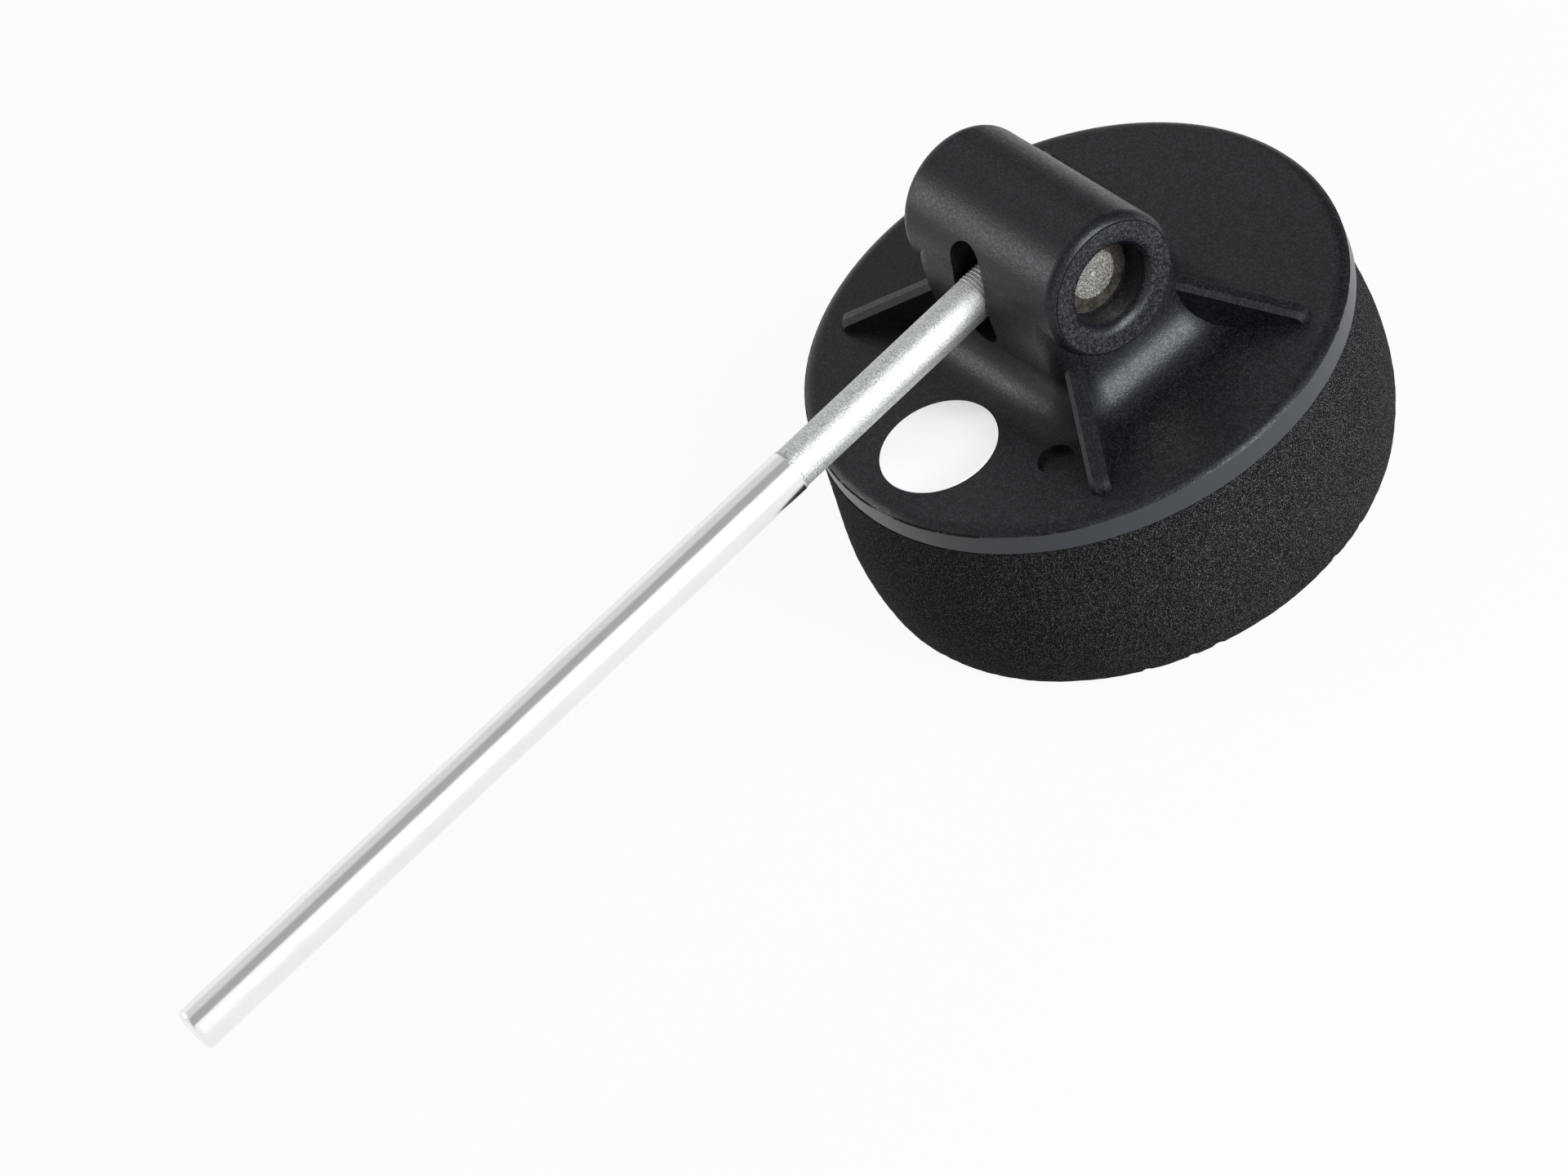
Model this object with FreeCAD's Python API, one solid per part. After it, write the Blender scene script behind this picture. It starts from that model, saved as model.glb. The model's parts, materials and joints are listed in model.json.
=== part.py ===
import FreeCAD, Part
import math
import os

# A beater for a foot pedal: a foam disc on a moulded head that swivels on a steel shaft.
# Frame: the foam's striking face lies on z = 0 with the origin at its centre, +Z runs from the
# foam to the swivel barrel, the barrel lies along X, and the shaft leaves it towards -Y.
# All lengths are in millimetres and all angles in degrees.

# Foam pad
pad_t = 32.5
pad_top_d = 95.8
pad_face_d = 93.4
pad_belly = 1.6
pad_face_bevel = 0.8

# Adhesive film between pad and head
film_t = 0.3
film_d = 93.0

# Disc of the head
disc_d = 96.0
disc_t = 5.0
roll_run = 2.2
roll_drop = 1.0

# Barrel that carries the pivot
barrel_d = 26.2
barrel_len = 41.0
barrel_rise = 19.5
barrel_lip_d = 23.8
barrel_lip_run = 2.1
mouth_d = 18.4

# Neck between disc and barrel, with its flared foot and its shoulders that lean in to the barrel
neck_len = 40.4
neck_w = 29.0
neck_corner_r = 6.0
flare_r = 7.5
shoulder_lean = 15.0
shoulder_sink = 0.15
shoulder_soft_r = 20.0

# Four ribs, from the neck's corners outwards
rib_w = 3.4
rib_top_bevel = 0.9
rib_root_h = 12.8
rib_tip_h = 2.4
rib_foot = 0.8
rib_tip_along_share = 0.742
rib_tip_across_share = 0.492

# Moulding gate, a sunk dimple on the disc's upper face, placed by shares of the disc's radius
gate_d = 6.5
gate_depth = 1.4
gate_along_share = 0.469
gate_across_share = 0.477

# Round label on the disc's upper face, between the flare's toe and the disc's roll
label_t = 0.15
label_toe_clear = 0.2
label_roll_clear = 2.8
label_along_share = 0.05

# Pivot pin
pin_d = 14.4
pin_len = 34.8
pin_chamfer = 0.5
pin_clear = 0.05

# Shaft
shaft_d = 8.0
shaft_reach = 191.4
shaft_end_round = 0.9
turned_d = 7.6
turned_reach = 56.1
turned_step_len = 0.6
shaft_past_pivot = 3.2
thread_clear = 0.05
shaft_dip = 4.26

# Plane in which the shaft swings, towards the barrel's -X end, and the shaft's drop below the pivot axis
swing_along = -2.6
shaft_below = 2.3

# Slot in the barrel and neck for the shaft's swing
slot_side_clear = 0.45
slot_rise = 7.5
slot_drop = 12.6

# Overrun of every cut
cut_over = 2.0

# Levels above the striking face
film_z = pad_t
disc_z = film_z + film_t
deck_z = disc_z + disc_t
pivot_z = deck_z + barrel_rise

X_AXIS = FreeCAD.Vector(1, 0, 0)
Y_AXIS = FreeCAD.Vector(0, 1, 0)
Z_AXIS = FreeCAD.Vector(0, 0, 1)
FULL_TURN = 360


def point(x, y, z):
    return FreeCAD.Vector(x, y, z)


def cylinder(d, length, base, axis):
    return Part.makeCylinder(d / 2, length, base, axis)


def face_of(edges):
    return Part.Face(Part.Wire(Part.sortEdges(edges)[0]))


def line(a, b):
    return Part.makeLine(a, b)


def arc(a, middle, b):
    return Part.Arc(a, middle, b).toShape()


def foam_pad():
    """Turned form with a soft belly and a bevelled edge at the striking face."""
    top_r = pad_top_d / 2
    face_r = pad_face_d / 2
    side_mid = (pad_face_bevel + pad_t) / 2
    belly_r = (top_r + face_r) / 2 + pad_belly
    centre_low = point(0, 0, 0)
    centre_top = point(0, 0, pad_t)
    face_rim = point(face_r - pad_face_bevel, 0, 0)
    side_foot = point(face_r, 0, pad_face_bevel)
    side_top = point(top_r, 0, pad_t)
    outline = [
        line(centre_low, face_rim),
        line(face_rim, side_foot),
        arc(side_foot, point(belly_r, 0, side_mid), side_top),
        line(side_top, centre_top),
        line(centre_top, centre_low),
    ]
    return face_of(outline).revolve(centre_low, Z_AXIS, FULL_TURN)


def adhesive_disc():
    return cylinder(film_d, film_t, point(0, 0, film_z), Z_AXIS)


def roll_middle(run, drop):
    """Middle of an arc that leaves a face at a tangent and falls by drop over run."""
    radius = (run ** 2 + drop ** 2) / (2 * drop)
    half_turn = math.atan2(drop, run)
    return radius * math.sin(half_turn), radius * (1 - math.cos(half_turn))


def disc():
    """Flat disc with an upright rim and a shallow roll from the rim up to the deck."""
    rim_r = disc_d / 2
    along, below = roll_middle(roll_run, roll_drop)
    low = point(0, 0, disc_z)
    rim_low = point(rim_r, 0, disc_z)
    rim_high = point(rim_r, 0, deck_z - roll_drop)
    bend = point(rim_r - roll_run + along, 0, deck_z - below)
    deck_rim = point(rim_r - roll_run, 0, deck_z)
    high = point(0, 0, deck_z)
    outline = [
        line(low, rim_low),
        line(rim_low, rim_high),
        arc(rim_high, bend, deck_rim),
        line(deck_rim, high),
        line(high, low),
    ]
    return face_of(outline).revolve(low, Z_AXIS, FULL_TURN)


def neck():
    """Upright walls whose shoulders lean in to meet the barrel's sides, with rounded corners."""
    lean = math.radians(shoulder_lean)
    wall = neck_w / 2
    seat_r = barrel_d / 2 - shoulder_sink
    seat_y = seat_r * math.cos(lean)
    seat_z = pivot_z + seat_r * math.sin(lean)
    crease_z = seat_z - (wall - seat_y) / math.tan(lean)
    reach = shoulder_soft_r * math.tan(lean / 2)
    back = -neck_len / 2
    edges = [line(point(back, -wall, disc_z), point(back, wall, disc_z))]
    for side in (1, -1):
        wall_top = point(back, side * wall, crease_z - reach)
        bend_y = wall - shoulder_soft_r * (1 - math.cos(lean / 2))
        bend = point(back, side * bend_y, crease_z - reach + shoulder_soft_r * math.sin(lean / 2))
        slope_low = point(back, side * (wall - reach * math.sin(lean)), crease_z + reach * math.cos(lean))
        seat = point(back, side * seat_y, seat_z)
        edges.append(line(point(back, side * wall, disc_z), wall_top))
        edges.append(arc(wall_top, bend, slope_low))
        edges.append(line(slope_low, seat))
    edges.append(line(point(back, seat_y, seat_z), point(back, -seat_y, seat_z)))
    body = face_of(edges).extrude(point(neck_len, 0, 0))
    corners = []
    for edge in body.Edges:
        box = edge.BoundBox
        at_end = abs(box.Center.x) > neck_len / 2 - neck_corner_r
        if at_end and box.ZLength > box.YLength:
            corners.append(edge)
    return body.makeFillet(neck_corner_r, corners)


def flared_base():
    """Disc and neck in one, with the concave flare round the neck's foot."""
    base = disc().fuse(neck()).removeSplitter()
    near_x = neck_len / 2 + neck_corner_r
    near_y = neck_w / 2 + neck_corner_r
    foot = []
    for edge in base.Edges:
        box = edge.BoundBox
        level = abs(box.ZMin - deck_z) + abs(box.ZMax - deck_z)
        if level < film_t and max(-box.XMin, box.XMax) < near_x and max(-box.YMin, box.YMax) < near_y:
            foot.append(edge)
    return base.makeFillet(flare_r, foot)


def barrel():
    """Cylinder along X whose ends roll in to a flat face."""
    side_r = barrel_d / 2
    lip_r = barrel_lip_d / 2
    along, below = roll_middle(barrel_lip_run, side_r - lip_r)
    face = barrel_len / 2
    side_x = face - barrel_lip_run
    edges = [line(point(-face, 0, pivot_z), point(face, 0, pivot_z))]
    for side in (1, -1):
        lip = point(side * face, 0, pivot_z + lip_r)
        bend = point(side * (side_x + along), 0, pivot_z + side_r - below)
        edges.append(line(point(side * face, 0, pivot_z), lip))
        edges.append(arc(lip, bend, point(side * side_x, 0, pivot_z + side_r)))
    edges.append(line(point(-side_x, 0, pivot_z + side_r), point(side_x, 0, pivot_z + side_r)))
    return face_of(edges).revolve(point(0, 0, pivot_z), X_AXIS, FULL_TURN)


def rib():
    """One rib on the +X +Y side: a sloping gusset with bevelled upper edges."""
    root_x = neck_len / 2 - neck_corner_r
    root_y = neck_w / 2 - neck_corner_r
    out_x = rib_tip_along_share * disc_d / 2 - root_x
    out_y = rib_tip_across_share * disc_d / 2 - root_y
    run = math.hypot(out_x, out_y)
    heading = math.degrees(math.atan2(out_y, out_x))
    side = -rib_w / 2
    slope = math.atan2(rib_root_h - rib_tip_h, run)
    tip_r = rib_tip_h
    nose = (math.pi / 2 - slope) / 2
    shoulder = point(run - tip_r + tip_r * math.sin(slope), side, tip_r * math.cos(slope))
    bend = point(run - tip_r + tip_r * math.cos(nose), side, tip_r * math.sin(nose))
    end = point(run, side, 0)
    root_top = point(0, side, rib_root_h)
    foot_end = point(run, side, -rib_foot)
    foot_root = point(0, side, -rib_foot)
    outline = [
        line(foot_root, root_top),
        line(root_top, shoulder),
        arc(shoulder, bend, end),
        line(end, foot_end),
        line(foot_end, foot_root),
    ]
    body = face_of(outline).extrude(point(0, rib_w, 0))
    crest = []
    for edge in body.Edges:
        box = edge.BoundBox
        upright = box.XMax - box.XMin < rib_top_bevel / 2
        across = box.YMax - box.YMin > rib_w / 2
        if not upright and not across and box.ZMax > 0:
            crest.append(edge)
    body = body.makeChamfer(rib_top_bevel, crest)
    body.rotate(point(0, 0, 0), Z_AXIS, heading)
    body.translate(point(root_x, root_y, deck_z))
    return body


def four_ribs():
    first = rib()
    origin = point(0, 0, 0)
    pair = [first, first.mirror(origin, X_AXIS)]
    return pair + [one.mirror(origin, Y_AXIS) for one in pair]


def bore():
    """Through bore for the pin, with a rounded bell mouth at both ends."""
    bore_r = pin_d / 2 + pin_clear
    mouth_r = mouth_d / 2
    bell = mouth_r - bore_r
    bend = bell * (1 - math.sqrt(0.5))
    face = barrel_len / 2
    over = face + cut_over
    edges = [line(point(-over, 0, pivot_z), point(over, 0, pivot_z))]
    for side in (1, -1):
        rim = point(side * face, 0, pivot_z + mouth_r)
        knee = point(side * (face - bend), 0, pivot_z + bore_r + bend)
        throat = point(side * (face - bell), 0, pivot_z + bore_r)
        edges.append(line(point(side * over, 0, pivot_z), point(side * over, 0, pivot_z + mouth_r)))
        edges.append(line(point(side * over, 0, pivot_z + mouth_r), rim))
        edges.append(arc(rim, knee, throat))
    edges.append(line(point(bell - face, 0, pivot_z + bore_r), point(face - bell, 0, pivot_z + bore_r)))
    return face_of(edges).revolve(point(0, 0, pivot_z), X_AXIS, FULL_TURN)


def slot():
    """Upright slot from the barrel's -Y side through to the bore, round at both ends."""
    half_w = turned_d / 2 + slot_side_clear
    deep = max(barrel_d, neck_w) / 2 + flare_r + cut_over
    high = pivot_z + slot_rise - half_w
    low = pivot_z - slot_drop + half_w
    outline = [
        line(point(half_w, 0, low), point(half_w, 0, high)),
        arc(point(half_w, 0, high), point(0, 0, high + half_w), point(-half_w, 0, high)),
        line(point(-half_w, 0, high), point(-half_w, 0, low)),
        arc(point(-half_w, 0, low), point(0, 0, low - half_w), point(half_w, 0, low)),
    ]
    cut = face_of(outline).extrude(point(0, -deep, 0))
    cut.translate(point(swing_along, 0, 0))
    return cut


def gate():
    place = point(gate_along_share * disc_d / 2, -gate_across_share * disc_d / 2, deck_z - gate_depth)
    return cylinder(gate_d, gate_depth + cut_over, place, Z_AXIS)


def head_moulding():
    body = flared_base().fuse(barrel()).fuse(four_ribs())
    body = body.cut(bore()).cut(slot()).cut(gate())
    return body.removeSplitter()


def round_label():
    """Thin disc that fills the space from the flare's toe to the disc's roll."""
    inner = neck_w / 2 + flare_r + label_toe_clear
    outer = disc_d / 2 - roll_run - label_roll_clear
    place = point(label_along_share * disc_d / 2, -(inner + outer) / 2, deck_z)
    return cylinder(outer - inner, label_t, place, Z_AXIS)


def swing(shape):
    """Turn a piece drawn along -Y to the shaft's resting dip about the pivot axis."""
    shape.rotate(point(0, 0, pivot_z), X_AXIS, shaft_dip)
    return shape


def on_shaft(out, reach):
    """A place beside the shaft's axis, before its swing: out from the axis, and along it from the pivot."""
    return point(swing_along + out, -reach, pivot_z - shaft_below)


def pivot_pin():
    """Plain pin with chamfered ends and a cross hole for the shaft."""
    start = swing_along - pin_len / 2
    body = cylinder(pin_d, pin_len, point(start, 0, pivot_z), X_AXIS)
    ends = []
    for edge in body.Edges:
        if edge.Closed and abs(edge.CenterOfMass.x - swing_along) > pin_len / 2 - pin_chamfer:
            ends.append(edge)
    body = body.makeChamfer(pin_chamfer, ends)
    hole_len = pin_d + 2 * cut_over
    hole = cylinder(turned_d + 2 * thread_clear, hole_len, on_shaft(0, hole_len / 2), Y_AXIS)
    return swing(body.cut(hole))


def shaft():
    """Turned upper end, chamfered step, then the smooth shank with a rounded free end."""
    shank_r = shaft_d / 2
    turned_r = turned_d / 2
    bend = shaft_end_round * (1 - math.sqrt(0.5))
    top = on_shaft(0, -shaft_past_pivot)
    free = on_shaft(0, shaft_reach)
    rim = on_shaft(shank_r, shaft_reach - shaft_end_round)
    flat = on_shaft(shank_r - shaft_end_round, shaft_reach)
    knee = on_shaft(shank_r - bend, shaft_reach - bend)
    step_low = on_shaft(shank_r, turned_reach + turned_step_len)
    step_high = on_shaft(turned_r, turned_reach)
    shoulder = on_shaft(turned_r, -shaft_past_pivot)
    outline = [
        line(free, flat),
        arc(flat, knee, rim),
        line(rim, step_low),
        line(step_low, step_high),
        line(step_high, shoulder),
        line(shoulder, top),
        line(top, free),
    ]
    return swing(face_of(outline).revolve(free, Y_AXIS, FULL_TURN))


NODES = {
    "foam_pad": foam_pad,
    "adhesive_disc": adhesive_disc,
    "head_moulding": head_moulding,
    "round_label": round_label,
    "pivot_pin": pivot_pin,
    "shaft": shaft,
}

os.makedirs("parts", exist_ok=True)
for name, make in NODES.items():
    solid = make()
    solid.exportStep("parts/" + name + ".step")
    print(name, "solids", len(solid.Solids), "valid", solid.isValid(), "volume", round(solid.Volume, 1))
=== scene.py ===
import json
import math

import bmesh
import bpy
from mathutils import Matrix, Vector, noise


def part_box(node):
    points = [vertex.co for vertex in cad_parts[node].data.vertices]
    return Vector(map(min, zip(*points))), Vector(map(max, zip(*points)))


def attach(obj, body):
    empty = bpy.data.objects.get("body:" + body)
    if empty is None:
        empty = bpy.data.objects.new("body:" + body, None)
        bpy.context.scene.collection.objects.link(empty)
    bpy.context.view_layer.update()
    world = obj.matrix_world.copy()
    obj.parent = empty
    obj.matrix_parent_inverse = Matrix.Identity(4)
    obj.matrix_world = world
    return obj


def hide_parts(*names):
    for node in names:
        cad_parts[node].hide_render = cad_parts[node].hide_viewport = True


# A foam beater for a foot pedal. The head moulding, the film, the label, the pin and the shaft are the
# CAD solids with finished materials. The foam pad and the shaft's thread are made here. All lengths
# are in metres, in the frame of the CAD.

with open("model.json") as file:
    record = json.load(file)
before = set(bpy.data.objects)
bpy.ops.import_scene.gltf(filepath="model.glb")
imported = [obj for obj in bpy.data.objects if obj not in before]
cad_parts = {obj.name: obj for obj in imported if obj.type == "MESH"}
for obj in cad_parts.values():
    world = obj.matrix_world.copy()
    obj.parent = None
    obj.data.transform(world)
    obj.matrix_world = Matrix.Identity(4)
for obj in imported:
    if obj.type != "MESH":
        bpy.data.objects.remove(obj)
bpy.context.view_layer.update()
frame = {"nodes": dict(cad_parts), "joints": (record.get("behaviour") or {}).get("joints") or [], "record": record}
nodes = frame["nodes"]
MM = 0.001

pivot = Vector(frame["joints"][0]["pos_m"])
shank_mount = next(m for m in frame["record"]["mounts"] if m["name"] == "shank")
shank_middle = Vector(shank_mount["pos_m"])
shaft_way = Vector(shank_mount["axis"]).normalized()
shaft_root = shank_middle - shaft_way * (shank_middle - pivot).dot(shaft_way)
deck_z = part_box("round_label")[0].z
disc_r = 48.0 * MM
parting_z = deck_z - 1.0 * MM
barrel_end_x = 20.5 * MM
pad_edge_r = 1.0 * MM

# Most values of a noise texture lie between these, and the closer pair gives more contrast.
noise_low, noise_high = 0.3, 0.7
close_low, close_high = 0.35, 0.65


def linear(hex_colour):
    """An sRGB hex colour as the linear colour that shaders take."""
    parts = [int(hex_colour[i:i + 2], 16) / 255 for i in (1, 3, 5)]
    curve = [c / 12.92 if c <= 0.04045 else ((c + 0.055) / 1.055) ** 2.4 for c in parts]
    return (*curve, 1.0)


def add(tree, kind, inputs=None, out=None, **settings):
    """Adds one node with its settings; an input is a value, or the socket that feeds it. Returns the
    named output, or else the first one in use."""
    node = tree.nodes.new(kind)
    for name, value in settings.items():
        setattr(node, name, value)
    for name, value in (inputs or {}).items():
        if isinstance(value, bpy.types.NodeSocket):
            tree.links.new(value, node.inputs[name])
        else:
            node.inputs[name].default_value = value
    return node.outputs[out] if out else next((o for o in node.outputs if o.enabled), None)


def new_material(name):
    """An empty material with its tree and the place on the piece."""
    made = bpy.data.materials.new(name)
    made.use_nodes = True
    made.node_tree.nodes.clear()
    return made, made.node_tree, add(made.node_tree, "ShaderNodeTexCoord", out="Object")


def finish(made, inputs):
    """Ends a material with its shader; returns the material."""
    shader = add(made.node_tree, "ShaderNodeBsdfPrincipled", inputs)
    add(made.node_tree, "ShaderNodeOutputMaterial", {"Surface": shader})
    return made


def moulded_abs():
    """Black ABS from a spark-eroded mould: a grain of tiny craters, whose paler specks in the colour are
    painted sparkle standing in for glints off the crater facets; a smoother and brighter upright rim; the
    broken dark line of the mould's parting, partly a real seam and partly painted shadow of its small step;
    and barrel ends with paler specks of painted sparkle inside a fine dark ring, partly a real witness line
    and partly painted shadow of its step. The real craters and parting line are near 0.1 mm, which is too
    fine to show, so both are drawn coarser."""
    made, tree, place = new_material("abs_spark_eroded_black")
    crater_size, crater_depth, crater_contrast = 0.3 * MM, 0.024 * MM, 2.0
    rim_start, rim_full, band_blur = disc_r - 0.6 * MM, disc_r - 0.3 * MM, 0.05 * MM
    seam_half, break_size, break_end, seam_start = 0.22 * MM, 5 * MM, 0.43, 0.5
    clean_turn, clean_half, clean_blur = math.radians(-5), math.radians(26), 0.2
    lip_r, line_half, end_depth = 11.9 * MM, 0.13 * MM, 0.3 * MM
    dull_rough, bright_rough, band_rough, line_rough, band_grain = 0.42, 0.28, 0.31, 1.0, 0.12
    split = add(tree, "ShaderNodeSeparateXYZ", {0: place}).node.outputs
    flat = add(tree, "ShaderNodeCombineXYZ", {"X": split["X"], "Y": split["Y"]})
    from_middle = add(tree, "ShaderNodeVectorMath", {0: flat}, out="Value", operation="LENGTH")
    on_rim = add(tree, "ShaderNodeMapRange", {
        "Value": from_middle, "From Min": rim_start, "From Max": rim_full})
    below = add(tree, "ShaderNodeMapRange", {
        "Value": split["Z"], "From Min": parting_z + band_blur, "From Max": parting_z - band_blur})
    band = add(tree, "ShaderNodeMath", {0: on_rim, 1: below}, operation="MULTIPLY")

    # The seam's dark colour is partly a real parting line and partly painted shadow of its small step.
    at_parting = add(tree, "ShaderNodeMath", {0: split["Z"], 1: parting_z, 2: seam_half},
                     operation="COMPARE")
    breaks = add(tree, "ShaderNodeTexNoise", {
        "Vector": place, "Scale": 1 / break_size, "Detail": 5.0, "Roughness": 0.75})
    unbroken = add(tree, "ShaderNodeMapRange", {
        "Value": breaks, "From Min": break_end, "From Max": seam_start})
    turn = add(tree, "ShaderNodeMath", {0: split["Y"], 1: split["X"]}, operation="ARCTAN2")
    aside = add(tree, "ShaderNodeMath", {0: turn, 1: clean_turn}, operation="SUBTRACT")
    aside = add(tree, "ShaderNodeMath", {0: aside}, operation="ABSOLUTE")
    opened = add(tree, "ShaderNodeMapRange", {
        "Value": aside, "From Min": clean_half, "From Max": clean_half + clean_blur})
    seam_shadow = add(tree, "ShaderNodeMath", {0: at_parting, 1: unbroken}, operation="MULTIPLY")
    seam_shadow = add(tree, "ShaderNodeMath", {0: seam_shadow, 1: on_rim}, operation="MULTIPLY")
    seam_shadow = add(tree, "ShaderNodeMath", {0: seam_shadow, 1: opened}, operation="MULTIPLY")

    # The fine dark ring on the barrel ends is partly a real witness line and partly painted shadow of its step.
    up = add(tree, "ShaderNodeMath", {0: split["Z"], 1: pivot.z}, operation="SUBTRACT")
    off_axis = add(tree, "ShaderNodeCombineXYZ", {"X": split["Y"], "Y": up})
    from_axis = add(tree, "ShaderNodeVectorMath", {0: off_axis}, out="Value", operation="LENGTH")
    at_lip = add(tree, "ShaderNodeMath", {0: from_axis, 1: lip_r, 2: line_half}, operation="COMPARE")
    outward = add(tree, "ShaderNodeMath", {0: split["X"]}, operation="ABSOLUTE")
    far_out = add(tree, "ShaderNodeMath", {0: outward, 1: barrel_end_x - end_depth},
                  operation="GREATER_THAN")
    near_axis = add(tree, "ShaderNodeMath", {0: from_axis, 1: lip_r + 2 * line_half},
                    operation="LESS_THAN")
    at_end = add(tree, "ShaderNodeMath", {0: far_out, 1: near_axis}, operation="MULTIPLY")
    ring_shadow = add(tree, "ShaderNodeMath", {0: at_lip, 1: at_end}, operation="MULTIPLY")
    seam_and_ring_shadow = add(tree, "ShaderNodeMath", {0: seam_shadow, 1: ring_shadow}, operation="MAXIMUM")

    craters = add(tree, "ShaderNodeTexVoronoi", {
        "Vector": place, "Scale": 1 / crater_size}).node.outputs
    chance = add(tree, "ShaderNodeSeparateColor", {0: craters["Color"]})
    # Paler crater specks in the colour are painted sparkle, standing in for glints off the crater facets.
    crater_sparkle = add(tree, "ShaderNodeMath", {0: chance, 1: crater_contrast}, operation="POWER")
    body = add(tree, "ShaderNodeMix", {
        "Factor": crater_sparkle, "A": linear("#050608"), "B": linear("#23252b")}, data_type="RGBA")
    # The specks are paler still on the barrel ends: painted sparkle where the ends catch more light.
    end_sparkle = add(tree, "ShaderNodeMath", {0: crater_sparkle, 1: at_end}, operation="MULTIPLY")
    body = add(tree, "ShaderNodeMix", {
        "Factor": end_sparkle, "A": body, "B": linear("#393b40")}, data_type="RGBA")
    body = add(tree, "ShaderNodeMix", {
        "Factor": band, "A": body, "B": linear("#33363b")}, data_type="RGBA")
    colour = add(tree, "ShaderNodeMix", {
        "Factor": seam_and_ring_shadow, "A": body, "B": linear("#040404")}, data_type="RGBA")
    rough = add(tree, "ShaderNodeMapRange", {
        "Value": crater_sparkle, "From Min": 0.0, "From Max": 1.0, "To Min": dull_rough, "To Max": bright_rough})
    rough = add(tree, "ShaderNodeMix", {"Factor": band, "A": rough, "B": band_rough})
    rough = add(tree, "ShaderNodeMix", {"Factor": seam_and_ring_shadow, "A": rough, "B": line_rough})
    calm = add(tree, "ShaderNodeMix", {"Factor": band, "A": 1.0, "B": band_grain})
    height = add(tree, "ShaderNodeMath", {0: craters["Distance"], 1: calm}, operation="MULTIPLY")
    normal = add(tree, "ShaderNodeBump", {"Height": height, "Strength": 1.0, "Distance": crater_depth})
    return finish(made, {"Base Color": colour, "Roughness": rough, "Specular IOR Level": 0.29,
                         "Specular Tint": linear("#f1f9ff"), "Normal": normal})


def sponge_foam():
    """Die-cut closed-cell foam: matt black, thick with fine pale specks where the cut opens its cells.
    The real specks are near 0.08 mm, which is too fine to show, so they are drawn coarser."""
    made, tree, place = new_material("closed_cell_foam_die_cut_black")
    cell_size, speck_size, patch_size, cell_depth = 0.6 * MM, 0.17 * MM, 7 * MM, 0.12 * MM
    speck_start, speck_full, speck_height, pit_start, pit_full = 0.55, 0.68, 0.8, 0.3, 0.1
    cells = add(tree, "ShaderNodeTexVoronoi", {"Vector": place, "Scale": 1 / cell_size}, out="Distance")
    specks = add(tree, "ShaderNodeTexNoise", {
        "Vector": place, "Scale": 1 / speck_size, "Detail": 1.5, "Roughness": 0.7})
    patches = add(tree, "ShaderNodeTexNoise", {"Vector": place, "Scale": 1 / patch_size, "Detail": 3.0})
    ground = add(tree, "ShaderNodeMix", {
        "Factor": patches, "A": linear("#070708"), "B": linear("#0c0c0d")}, data_type="RGBA")
    walls = add(tree, "ShaderNodeMapRange", {
        "Value": specks, "From Min": speck_start, "From Max": speck_full})
    colour = add(tree, "ShaderNodeMix", {
        "Factor": walls, "A": ground, "B": linear("#69696d")}, data_type="RGBA")
    pits = add(tree, "ShaderNodeMapRange", {"Value": cells, "From Min": pit_start, "From Max": pit_full})
    colour = add(tree, "ShaderNodeMix", {
        "Factor": pits, "A": colour, "B": linear("#0b0b0b")}, data_type="RGBA")
    height = add(tree, "ShaderNodeMath", {0: specks, 1: speck_height, 2: cells}, operation="MULTIPLY_ADD")
    normal = add(tree, "ShaderNodeBump", {"Height": height, "Strength": 0.8, "Distance": cell_depth})
    return finish(made, {"Base Color": colour, "Roughness": 0.93, "Specular IOR Level": 0.08,
                         "Normal": normal})


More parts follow.
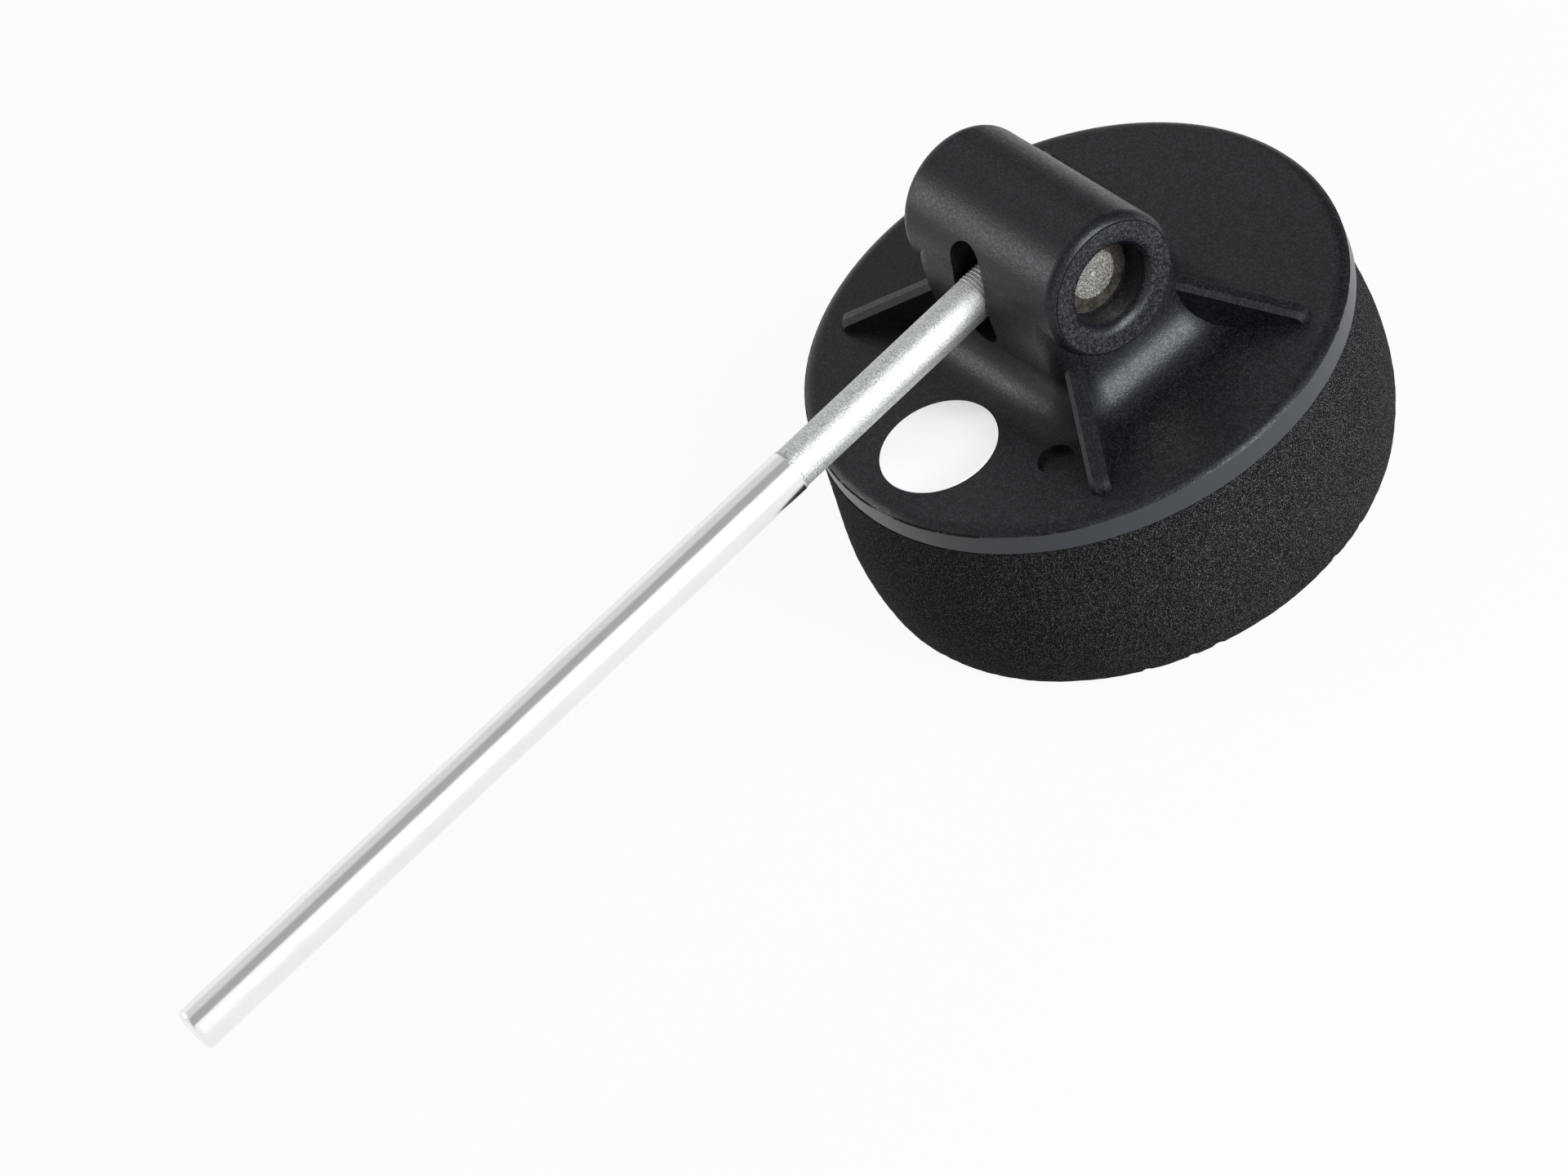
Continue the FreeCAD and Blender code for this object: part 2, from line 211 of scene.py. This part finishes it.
def plated_steel():
    """Zinc-plated steel: the shank drawn smooth and bright, the upper end turned and left grainy.
    The real grain is near 0.1 mm, which is too fine to show, so it is drawn coarser."""
    made, tree, place = new_material("steel_zinc_plated_drawn_and_turned")
    turned_end, turned_blur, haze_size = 56.8 * MM, 0.15 * MM, 6 * MM
    drawn_size, stretch, drawn_height = 0.25 * MM, 0.012, 0.02
    grain_size, grain_depth = 0.24 * MM, 0.1 * MM
    dip = math.atan2(-shaft_way.z, -shaft_way.y)
    offset = add(tree, "ShaderNodeVectorMath", {0: place, 1: shaft_root}, operation="SUBTRACT")
    reach = add(tree, "ShaderNodeVectorMath", {0: offset, 1: shaft_way}, out="Value",
                operation="DOT_PRODUCT")
    turned = add(tree, "ShaderNodeMapRange", {
        "Value": reach, "From Min": turned_end + turned_blur, "From Max": turned_end - turned_blur})
    squeezed = add(tree, "ShaderNodeMapping", {
        "Vector": place, "Rotation": (dip, 0.0, 0.0), "Scale": (1.0, stretch, 1.0)})
    drawn = add(tree, "ShaderNodeTexNoise", {"Vector": squeezed, "Scale": 1 / drawn_size, "Detail": 3.0})
    haze = add(tree, "ShaderNodeTexNoise", {"Vector": place, "Scale": 1 / haze_size, "Detail": 4.0})
    grain = add(tree, "ShaderNodeTexNoise", {
        "Vector": place, "Scale": 1 / grain_size, "Detail": 2.0, "Roughness": 0.7})
    smooth = add(tree, "ShaderNodeMix", {
        "Factor": haze, "A": linear("#eceeef"), "B": linear("#f6f7f7")}, data_type="RGBA")
    pale = add(tree, "ShaderNodeMapRange", {
        "Value": grain, "From Min": close_low, "From Max": close_high})
    grainy = add(tree, "ShaderNodeMix", {
        "Factor": pale, "A": linear("#969999"), "B": linear("#e0e3e3")}, data_type="RGBA")
    colour = add(tree, "ShaderNodeMix", {"Factor": turned, "A": smooth, "B": grainy}, data_type="RGBA")
    smooth_rough = add(tree, "ShaderNodeMapRange", {
        "Value": drawn, "From Min": noise_low, "From Max": noise_high, "To Min": 0.13, "To Max": 0.19})
    turned_rough = add(tree, "ShaderNodeMapRange", {
        "Value": grain, "From Min": noise_low, "From Max": noise_high, "To Min": 0.5, "To Max": 0.64})
    rough = add(tree, "ShaderNodeMix", {"Factor": turned, "A": smooth_rough, "B": turned_rough})
    faint = add(tree, "ShaderNodeMath", {0: drawn, 1: drawn_height}, operation="MULTIPLY")
    height = add(tree, "ShaderNodeMix", {"Factor": turned, "A": faint, "B": grain})
    normal = add(tree, "ShaderNodeBump", {"Height": height, "Strength": 0.8, "Distance": grain_depth})
    return finish(made, {"Base Color": colour, "Metallic": 1.0, "Roughness": rough, "Normal": normal})


def turned_pin_steel():
    """Bare steel bar, parted off on a lathe: stained warm grey, with a paler gritty middle; its bright centre
    dot and outer edge are painted glints on the centre mark and the chamfered rim."""
    made, tree, place = new_material("steel_bare_lathe_parted")
    stain_size, stain_full, stain_end = 2.2 * MM, 0.4, 0.65
    grit_size, grit_depth = 0.32 * MM, 0.03 * MM
    ring_pitch, ring_wobble, ring_height = 0.45 * MM, 0.5 * MM, 0.25
    middle_full, middle_end = 4.5 * MM, 4.75 * MM
    dot_full, dot_end, edge_start, edge_full = 0.3 * MM, 0.5 * MM, 6.75 * MM, 6.85 * MM
    offset = add(tree, "ShaderNodeVectorMath", {0: place, 1: pivot}, operation="SUBTRACT")
    split = add(tree, "ShaderNodeSeparateXYZ", {0: offset}).node.outputs
    flat = add(tree, "ShaderNodeCombineXYZ", {"X": split["Y"], "Y": split["Z"]})
    radius = add(tree, "ShaderNodeVectorMath", {0: flat}, out="Value", operation="LENGTH")
    stains = add(tree, "ShaderNodeTexNoise", {
        "Vector": place, "Scale": 1 / stain_size, "Detail": 5.0, "Roughness": 0.65})
    grit = add(tree, "ShaderNodeTexNoise", {"Vector": place, "Scale": 1 / grit_size, "Detail": 2.0})
    wobble = add(tree, "ShaderNodeMath", {0: stains, 1: ring_wobble, 2: radius}, operation="MULTIPLY_ADD")
    wave = add(tree, "ShaderNodeMath", {0: wobble, 1: 2 * math.pi / ring_pitch}, operation="MULTIPLY")
    rings = add(tree, "ShaderNodeMath", {0: wave}, operation="SINE")
    middle = add(tree, "ShaderNodeMapRange", {
        "Value": wobble, "From Min": middle_end, "From Max": middle_full})
    clean = add(tree, "ShaderNodeMapRange", {
        "Value": stains, "From Min": stain_full, "From Max": stain_end})
    outer = add(tree, "ShaderNodeMix", {
        "Factor": clean, "A": linear("#4e4943"), "B": linear("#766f67")}, data_type="RGBA")
    gritty = add(tree, "ShaderNodeMapRange", {
        "Value": grit, "From Min": close_low, "From Max": close_high})
    inner = add(tree, "ShaderNodeMix", {
        "Factor": gritty, "A": linear("#87837c"), "B": linear("#cbc8c2")}, data_type="RGBA")
    colour = add(tree, "ShaderNodeMix", {"Factor": middle, "A": outer, "B": inner}, data_type="RGBA")
    # The bright centre dot and outer edge are painted glints on the centre mark and the chamfered rim.
    dot = add(tree, "ShaderNodeMapRange", {"Value": radius, "From Min": dot_end, "From Max": dot_full})
    edge = add(tree, "ShaderNodeMapRange", {
        "Value": radius, "From Min": edge_start, "From Max": edge_full})
    dot_and_edge_glint = add(tree, "ShaderNodeMath", {0: dot, 1: edge}, operation="MAXIMUM")
    colour = add(tree, "ShaderNodeMix", {
        "Factor": dot_and_edge_glint, "A": colour, "B": linear("#f2f0ec")}, data_type="RGBA")
    rough = add(tree, "ShaderNodeMapRange", {
        "Value": grit, "From Min": noise_low, "From Max": noise_high, "To Min": 0.34, "To Max": 0.52})
    height = add(tree, "ShaderNodeMath", {0: rings, 1: ring_height, 2: grit}, operation="MULTIPLY_ADD")
    normal = add(tree, "ShaderNodeBump", {"Height": height, "Strength": 0.5, "Distance": grit_depth})
    return finish(made, {"Base Color": colour, "Metallic": 1.0, "Roughness": rough, "Normal": normal})


def label_vinyl():
    """White vinyl label: a smooth satin film with the faintest orange peel."""
    made, tree, place = new_material("vinyl_film_white_satin")
    peel_size, peel_depth, cloud_size = 1.1 * MM, 0.01 * MM, 8 * MM
    peel = add(tree, "ShaderNodeTexNoise", {"Vector": place, "Scale": 1 / peel_size, "Detail": 2.0})
    cloud = add(tree, "ShaderNodeTexNoise", {"Vector": place, "Scale": 1 / cloud_size, "Detail": 3.0})
    colour = add(tree, "ShaderNodeMix", {
        "Factor": cloud, "A": linear("#f6f6f7"), "B": linear("#fbfbfb")}, data_type="RGBA")
    rough = add(tree, "ShaderNodeMapRange", {
        "Value": peel, "From Min": noise_low, "From Max": noise_high, "To Min": 0.32, "To Max": 0.4})
    normal = add(tree, "ShaderNodeBump", {"Height": peel, "Strength": 0.15, "Distance": peel_depth})
    return finish(made, {"Base Color": colour, "Roughness": rough, "Specular IOR Level": 0.2,
                         "Normal": normal})


def adhesive_film():
    """Acrylic transfer film: grey, slightly tacky, with small trapped bubbles."""
    made, tree, place = new_material("acrylic_adhesive_film_grey")
    bubble_size, bubble_middle, bubble_wall = 0.9 * MM, 0.1, 0.6
    bubbles = add(tree, "ShaderNodeTexVoronoi", {"Vector": place, "Scale": 1 / bubble_size},
                  out="Distance")
    colour = add(tree, "ShaderNodeMix", {
        "Factor": bubbles, "A": linear("#4c4c4a"), "B": linear("#5e5e5b")}, data_type="RGBA")
    rough = add(tree, "ShaderNodeMapRange", {
        "Value": bubbles, "From Min": bubble_middle, "From Max": bubble_wall,
        "To Min": 0.35, "To Max": 0.55})
    return finish(made, {"Base Color": colour, "Roughness": rough})


def finish_solids():
    """Gives every CAD solid but the pad, which is replaced, its own finished material."""
    finishes = {
        "head_moulding": moulded_abs(),
        "round_label": label_vinyl(),
        "adhesive_disc": adhesive_film(),
        "pivot_pin": turned_pin_steel(),
        "shaft": plated_steel(),
    }
    for name, material in finishes.items():
        for place in nodes[name].material_slots:
            place.material = material
    return finishes


def foam_side(turn, height, tall):
    """A point on the foam's cut side: bellied low down, slightly askew and uneven, with small nicks at
    the lower edge. A nick is its angle and half its width in degrees, and its depth in mm."""
    top_r, face_r, belly, low_belly = 47.5 * MM, 46.7 * MM, 1.74 * MM, 0.66
    bump_size, bump_high, wave_ratio, wave_high = 1.3 * MM, 0.08, 9, 0.12
    top_off = Vector((-0.2, -0.6)) * MM
    face_off = Vector((-0.35, -1.70)) * MM
    sway = Vector((0.54, 0.27)) * MM
    nicks = ((-36.9, 1.1, 0.5), (-27.0, 0.9, 0.4), (-21.3, 1.3, 0.5), (9.6, 1.0, 0.4),
             (19.0, 0.8, 0.4), (74.0, 1.2, 0.5), (131.0, 0.9, 0.4), (201.0, 1.3, 0.5))
    nick_high = 1.6 * MM
    share = height / tall
    swell = 4 * share * (1 - share)
    out = face_r + (top_r - face_r) * share + belly * swell * (1 + low_belly * (1 - 2 * share))
    if height < pad_edge_r:
        out -= pad_edge_r - math.sqrt(pad_edge_r ** 2 - (pad_edge_r - height) ** 2)
    spot = Vector((out * math.cos(turn), out * math.sin(turn), height)) / bump_size
    out += noise.noise(spot) * bump_high * MM + noise.noise(spot / wave_ratio) * wave_high * MM
    for angle, half, deep in nicks:
        gap = (math.degrees(turn) - angle + 180) % 360 - 180
        if abs(gap) < half and height < nick_high:
            out -= deep * MM * (1 - (gap / half) ** 2) * (1 - height / nick_high)
    middle = face_off.lerp(top_off, share) + sway * swell
    return middle.x + out * math.cos(turn), middle.y + out * math.sin(turn), height


def make_foam(material):
    """The pad as one closed mesh: a flat struck face, the bellied side, and a flat top under the disc."""
    low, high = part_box("foam_pad")
    tall = high.z - low.z
    around, rows, edge_rows, sharp_angle = 720, 48, 6, math.radians(50)
    heights = [pad_edge_r * (1 - math.cos(math.pi / 2 * k / edge_rows)) for k in range(edge_rows)]
    heights += [pad_edge_r + (tall - pad_edge_r) * k / rows for k in range(rows + 1)]
    turns = [2 * math.pi * i / around for i in range(around)]
    shape = bmesh.new()
    rings = [[shape.verts.new(foam_side(turn, height, tall)) for turn in turns] for height in heights]
    for lower, upper in zip(rings, rings[1:]):
        for i in range(around):
            j = (i + 1) % around
            shape.faces.new((lower[i], lower[j], upper[j], upper[i]))
    shape.faces.new(rings[0][::-1])
    shape.faces.new(rings[-1])
    bmesh.ops.recalc_face_normals(shape, faces=shape.faces)
    mesh = bpy.data.meshes.new("foam_pad_sponge")
    shape.to_mesh(mesh)
    shape.free()
    mesh.materials.append(material)
    mesh.shade_smooth()
    mesh.set_sharp_from_angle(angle=sharp_angle)
    pad = bpy.data.objects.new("foam_pad_sponge", mesh)
    bpy.context.scene.collection.objects.link(pad)
    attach(pad, "head")
    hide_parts("foam_pad")


def thread_tree(material):
    """Geometry Nodes: a fine ridge wound round the shaft, like the crest of a screw thread."""
    tree = bpy.data.node_groups.new("wound_thread", "GeometryNodeTree")
    tree.interface.new_socket("Geometry", in_out="OUTPUT", socket_type="NodeSocketGeometry")
    sizes = {}
    for name in ("Turns", "Radius", "Length", "Ridge"):
        made = tree.interface.new_socket(name, in_out="INPUT", socket_type="NodeSocketFloat")
        sizes[name] = made.identifier
    given = add(tree, "NodeGroupInput").node.outputs
    winding = add(tree, "GeometryNodeCurveSpiral", {
        "Resolution": 48, "Rotations": given["Turns"], "Start Radius": given["Radius"],
        "End Radius": given["Radius"], "Height": given["Length"]})
    crest = add(tree, "GeometryNodeCurvePrimitiveCircle", {"Resolution": 6, "Radius": given["Ridge"]})
    swept = add(tree, "GeometryNodeCurveToMesh", {
        "Curve": winding, "Profile Curve": crest, "Fill Caps": True})
    real = add(tree, "GeometryNodeRealizeInstances", {"Geometry": swept})
    dressed = add(tree, "GeometryNodeSetMaterial", {"Geometry": real, "Material": material})
    add(tree, "NodeGroupOutput", {"Geometry": dressed})
    return tree, sizes


def make_thread(material):
    """The shaft's thread where it enters the pin, seen through the slot."""
    pitch, start, end = 0.7 * MM, 6.6 * MM, 14.0 * MM
    turned_r, ridge = 3.78 * MM, 0.12 * MM
    tree, sizes = thread_tree(material)
    carrier = bpy.data.objects.new("thread_carrier", bpy.data.meshes.new("thread_carrier"))
    bpy.context.scene.collection.objects.link(carrier)
    winder = carrier.modifiers.new("wound_thread", "NODES")
    winder.node_group = tree
    given = {"Turns": (end - start) / pitch, "Radius": turned_r, "Length": end - start, "Ridge": ridge}
    for name, value in given.items():
        winder[sizes[name]] = value
    ready = carrier.evaluated_get(bpy.context.evaluated_depsgraph_get())
    mesh = bpy.data.meshes.new_from_object(ready)
    bpy.data.objects.remove(carrier)
    turn = Vector((0, 0, 1)).rotation_difference(shaft_way).to_matrix().to_4x4()
    mesh.transform(Matrix.Translation(shaft_root + shaft_way * start) @ turn)
    mesh.shade_smooth()
    piece = bpy.data.objects.new("shaft_thread", mesh)
    bpy.context.scene.collection.objects.link(piece)
    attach(piece, "shank")


def make_floor():
    """Pale floor: white to the camera and in reflections, with the object's soft shadow kept."""
    half, mirrored_white, seen_white = 6.0, 0.88, 0.94
    corners = [(-half, -half, 0), (half, -half, 0), (half, half, 0), (-half, half, 0)]
    mesh = bpy.data.meshes.new("studio_floor")
    mesh.from_pydata(corners, [], [(0, 1, 2, 3)])
    floor = bpy.data.objects.new("studio_floor", mesh)
    bpy.context.scene.collection.objects.link(floor)
    made, tree, _ = new_material("studio_floor_white_card")
    path = add(tree, "ShaderNodeLightPath").node.outputs
    seen = add(tree, "ShaderNodeMath", {0: path["Is Camera Ray"], 1: path["Is Transmission Ray"]},
               operation="MAXIMUM")
    white = add(tree, "ShaderNodeMath", {0: path["Is Glossy Ray"], 1: mirrored_white},
                operation="MULTIPLY")
    white = add(tree, "ShaderNodeMix", {"Factor": seen, "A": white, "B": seen_white})
    card = add(tree, "ShaderNodeBsdfDiffuse", {"Color": linear("#c8c8c8")})
    glow = add(tree, "ShaderNodeEmission", {"Color": (1, 1, 1, 1), "Strength": 1.0})
    mixed = add(tree, "ShaderNodeMixShader", {0: white, 1: card, 2: glow})
    add(tree, "ShaderNodeOutputMaterial", {"Surface": mixed})
    mesh.materials.append(made)


def make_world():
    """White studio. Reflections show a white side, a grey gap overhead and a paler opposite side that is
    brightest low down, and all of it dims towards +Y. The camera sees plain white."""
    gap_near, gap_far, low_side = math.radians(63), math.radians(104), math.radians(148)
    near_blur, far_before, far_after, low_blur = 0.02, 0.06, 0.12, 0.1
    near_level, gap_level, far_level, low_gain, fill_level = 1.0, 0.42, 0.72, 0.22, 0.22
    dim_start, dim_full, dim_level = 0.35, 0.7, 0.12
    world = bpy.data.worlds.new("white_studio")
    bpy.context.scene.world = world
    world.use_nodes = True
    tree = world.node_tree
    tree.nodes.clear()
    path = add(tree, "ShaderNodeLightPath").node.outputs
    way = add(tree, "ShaderNodeTexCoord", out="Generated")
    split = add(tree, "ShaderNodeSeparateXYZ", {0: way}).node.outputs
    angle = add(tree, "ShaderNodeMath", {0: split["Z"], 1: split["X"]}, operation="ARCTAN2")
    near = add(tree, "ShaderNodeMapRange", {
        "Value": angle, "From Min": gap_near - near_blur, "From Max": gap_near + near_blur,
        "To Min": near_level, "To Max": gap_level})
    far = add(tree, "ShaderNodeMapRange", {
        "Value": angle, "From Min": gap_far - far_before, "From Max": gap_far + far_after,
        "To Min": gap_level, "To Max": far_level})
    low = add(tree, "ShaderNodeMapRange", {
        "Value": angle, "From Min": low_side - low_blur, "From Max": low_side + low_blur,
        "To Min": 0.0, "To Max": low_gain})
    far = add(tree, "ShaderNodeMath", {0: far, 1: low}, operation="ADD")
    before = add(tree, "ShaderNodeMath", {0: angle, 1: (gap_near + gap_far) / 2}, operation="LESS_THAN")
    mirrored = add(tree, "ShaderNodeMix", {"Factor": before, "A": far, "B": near})
    dim = add(tree, "ShaderNodeMapRange", {
        "Value": split["Y"], "From Min": dim_start, "From Max": dim_full,
        "To Min": 1.0, "To Max": dim_level})
    mirrored = add(tree, "ShaderNodeMath", {0: mirrored, 1: dim}, operation="MULTIPLY")
    seen = add(tree, "ShaderNodeMath", {0: path["Is Camera Ray"], 1: path["Is Transmission Ray"]},
               operation="MAXIMUM")
    strength = add(tree, "ShaderNodeMix", {
        "Factor": path["Is Glossy Ray"], "A": fill_level, "B": mirrored})
    strength = add(tree, "ShaderNodeMix", {"Factor": seen, "A": strength, "B": 1.0})
    sky = add(tree, "ShaderNodeBackground", {"Color": (1, 1, 1, 1), "Strength": strength})
    add(tree, "ShaderNodeOutputWorld", {"Surface": sky})


def softbox(name, way, wide, tall, radiance):
    """A soft light in a direction from the object, aimed at the head."""
    distance = 0.9
    lamp = bpy.data.lights.new(name, "AREA")
    lamp.shape = "RECTANGLE"
    lamp.size = wide
    lamp.size_y = tall
    lamp.energy = radiance * math.pi * wide * tall
    place = bpy.data.objects.new(name, lamp)
    bpy.context.scene.collection.objects.link(place)
    way = Vector(way).normalized()
    place.location = pivot + way * distance
    place.rotation_euler = way.to_track_quat("Z", "Y").to_euler()


def make_camera():
    """The photograph's viewing angle: high on the +X side, with the head leaning to the left."""
    azimuth, elevation, roll = math.radians(70.07), math.radians(42.54), math.radians(-26.5)
    aim, distance = Vector((-9.5, -64.0, 24.4)) * MM, 1.0975
    back = Vector((math.sin(azimuth) * math.cos(elevation),
                   -math.cos(azimuth) * math.cos(elevation),
                   math.sin(elevation)))
    level = Vector((math.cos(azimuth), math.sin(azimuth), 0))
    right = Matrix.Rotation(roll, 3, back) @ level
    upward = back.cross(right)
    lens = bpy.data.cameras.new("photo_camera")
    lens.lens = 150
    lens.sensor_width = 36
    lens.sensor_fit = "HORIZONTAL"
    camera = bpy.data.objects.new("photo_camera", lens)
    bpy.context.scene.collection.objects.link(camera)
    turn = Matrix((right, upward, back)).transposed().to_4x4()
    camera.matrix_world = Matrix.Translation(aim + back * distance) @ turn
    bpy.context.scene.camera = camera


finishes = finish_solids()
make_foam(sponge_foam())
make_thread(finishes["shaft"])
make_floor()
make_world()
softbox("softbox_right", way=(0.8, 0.3, 0.4), wide=0.46, tall=0.8, radiance=12.6)
softbox("softbox_left", way=(-0.7, -0.62, 0.4), wide=0.4, tall=0.4, radiance=4.8)
make_camera()
bpy.context.scene.view_settings.view_transform = "Standard"
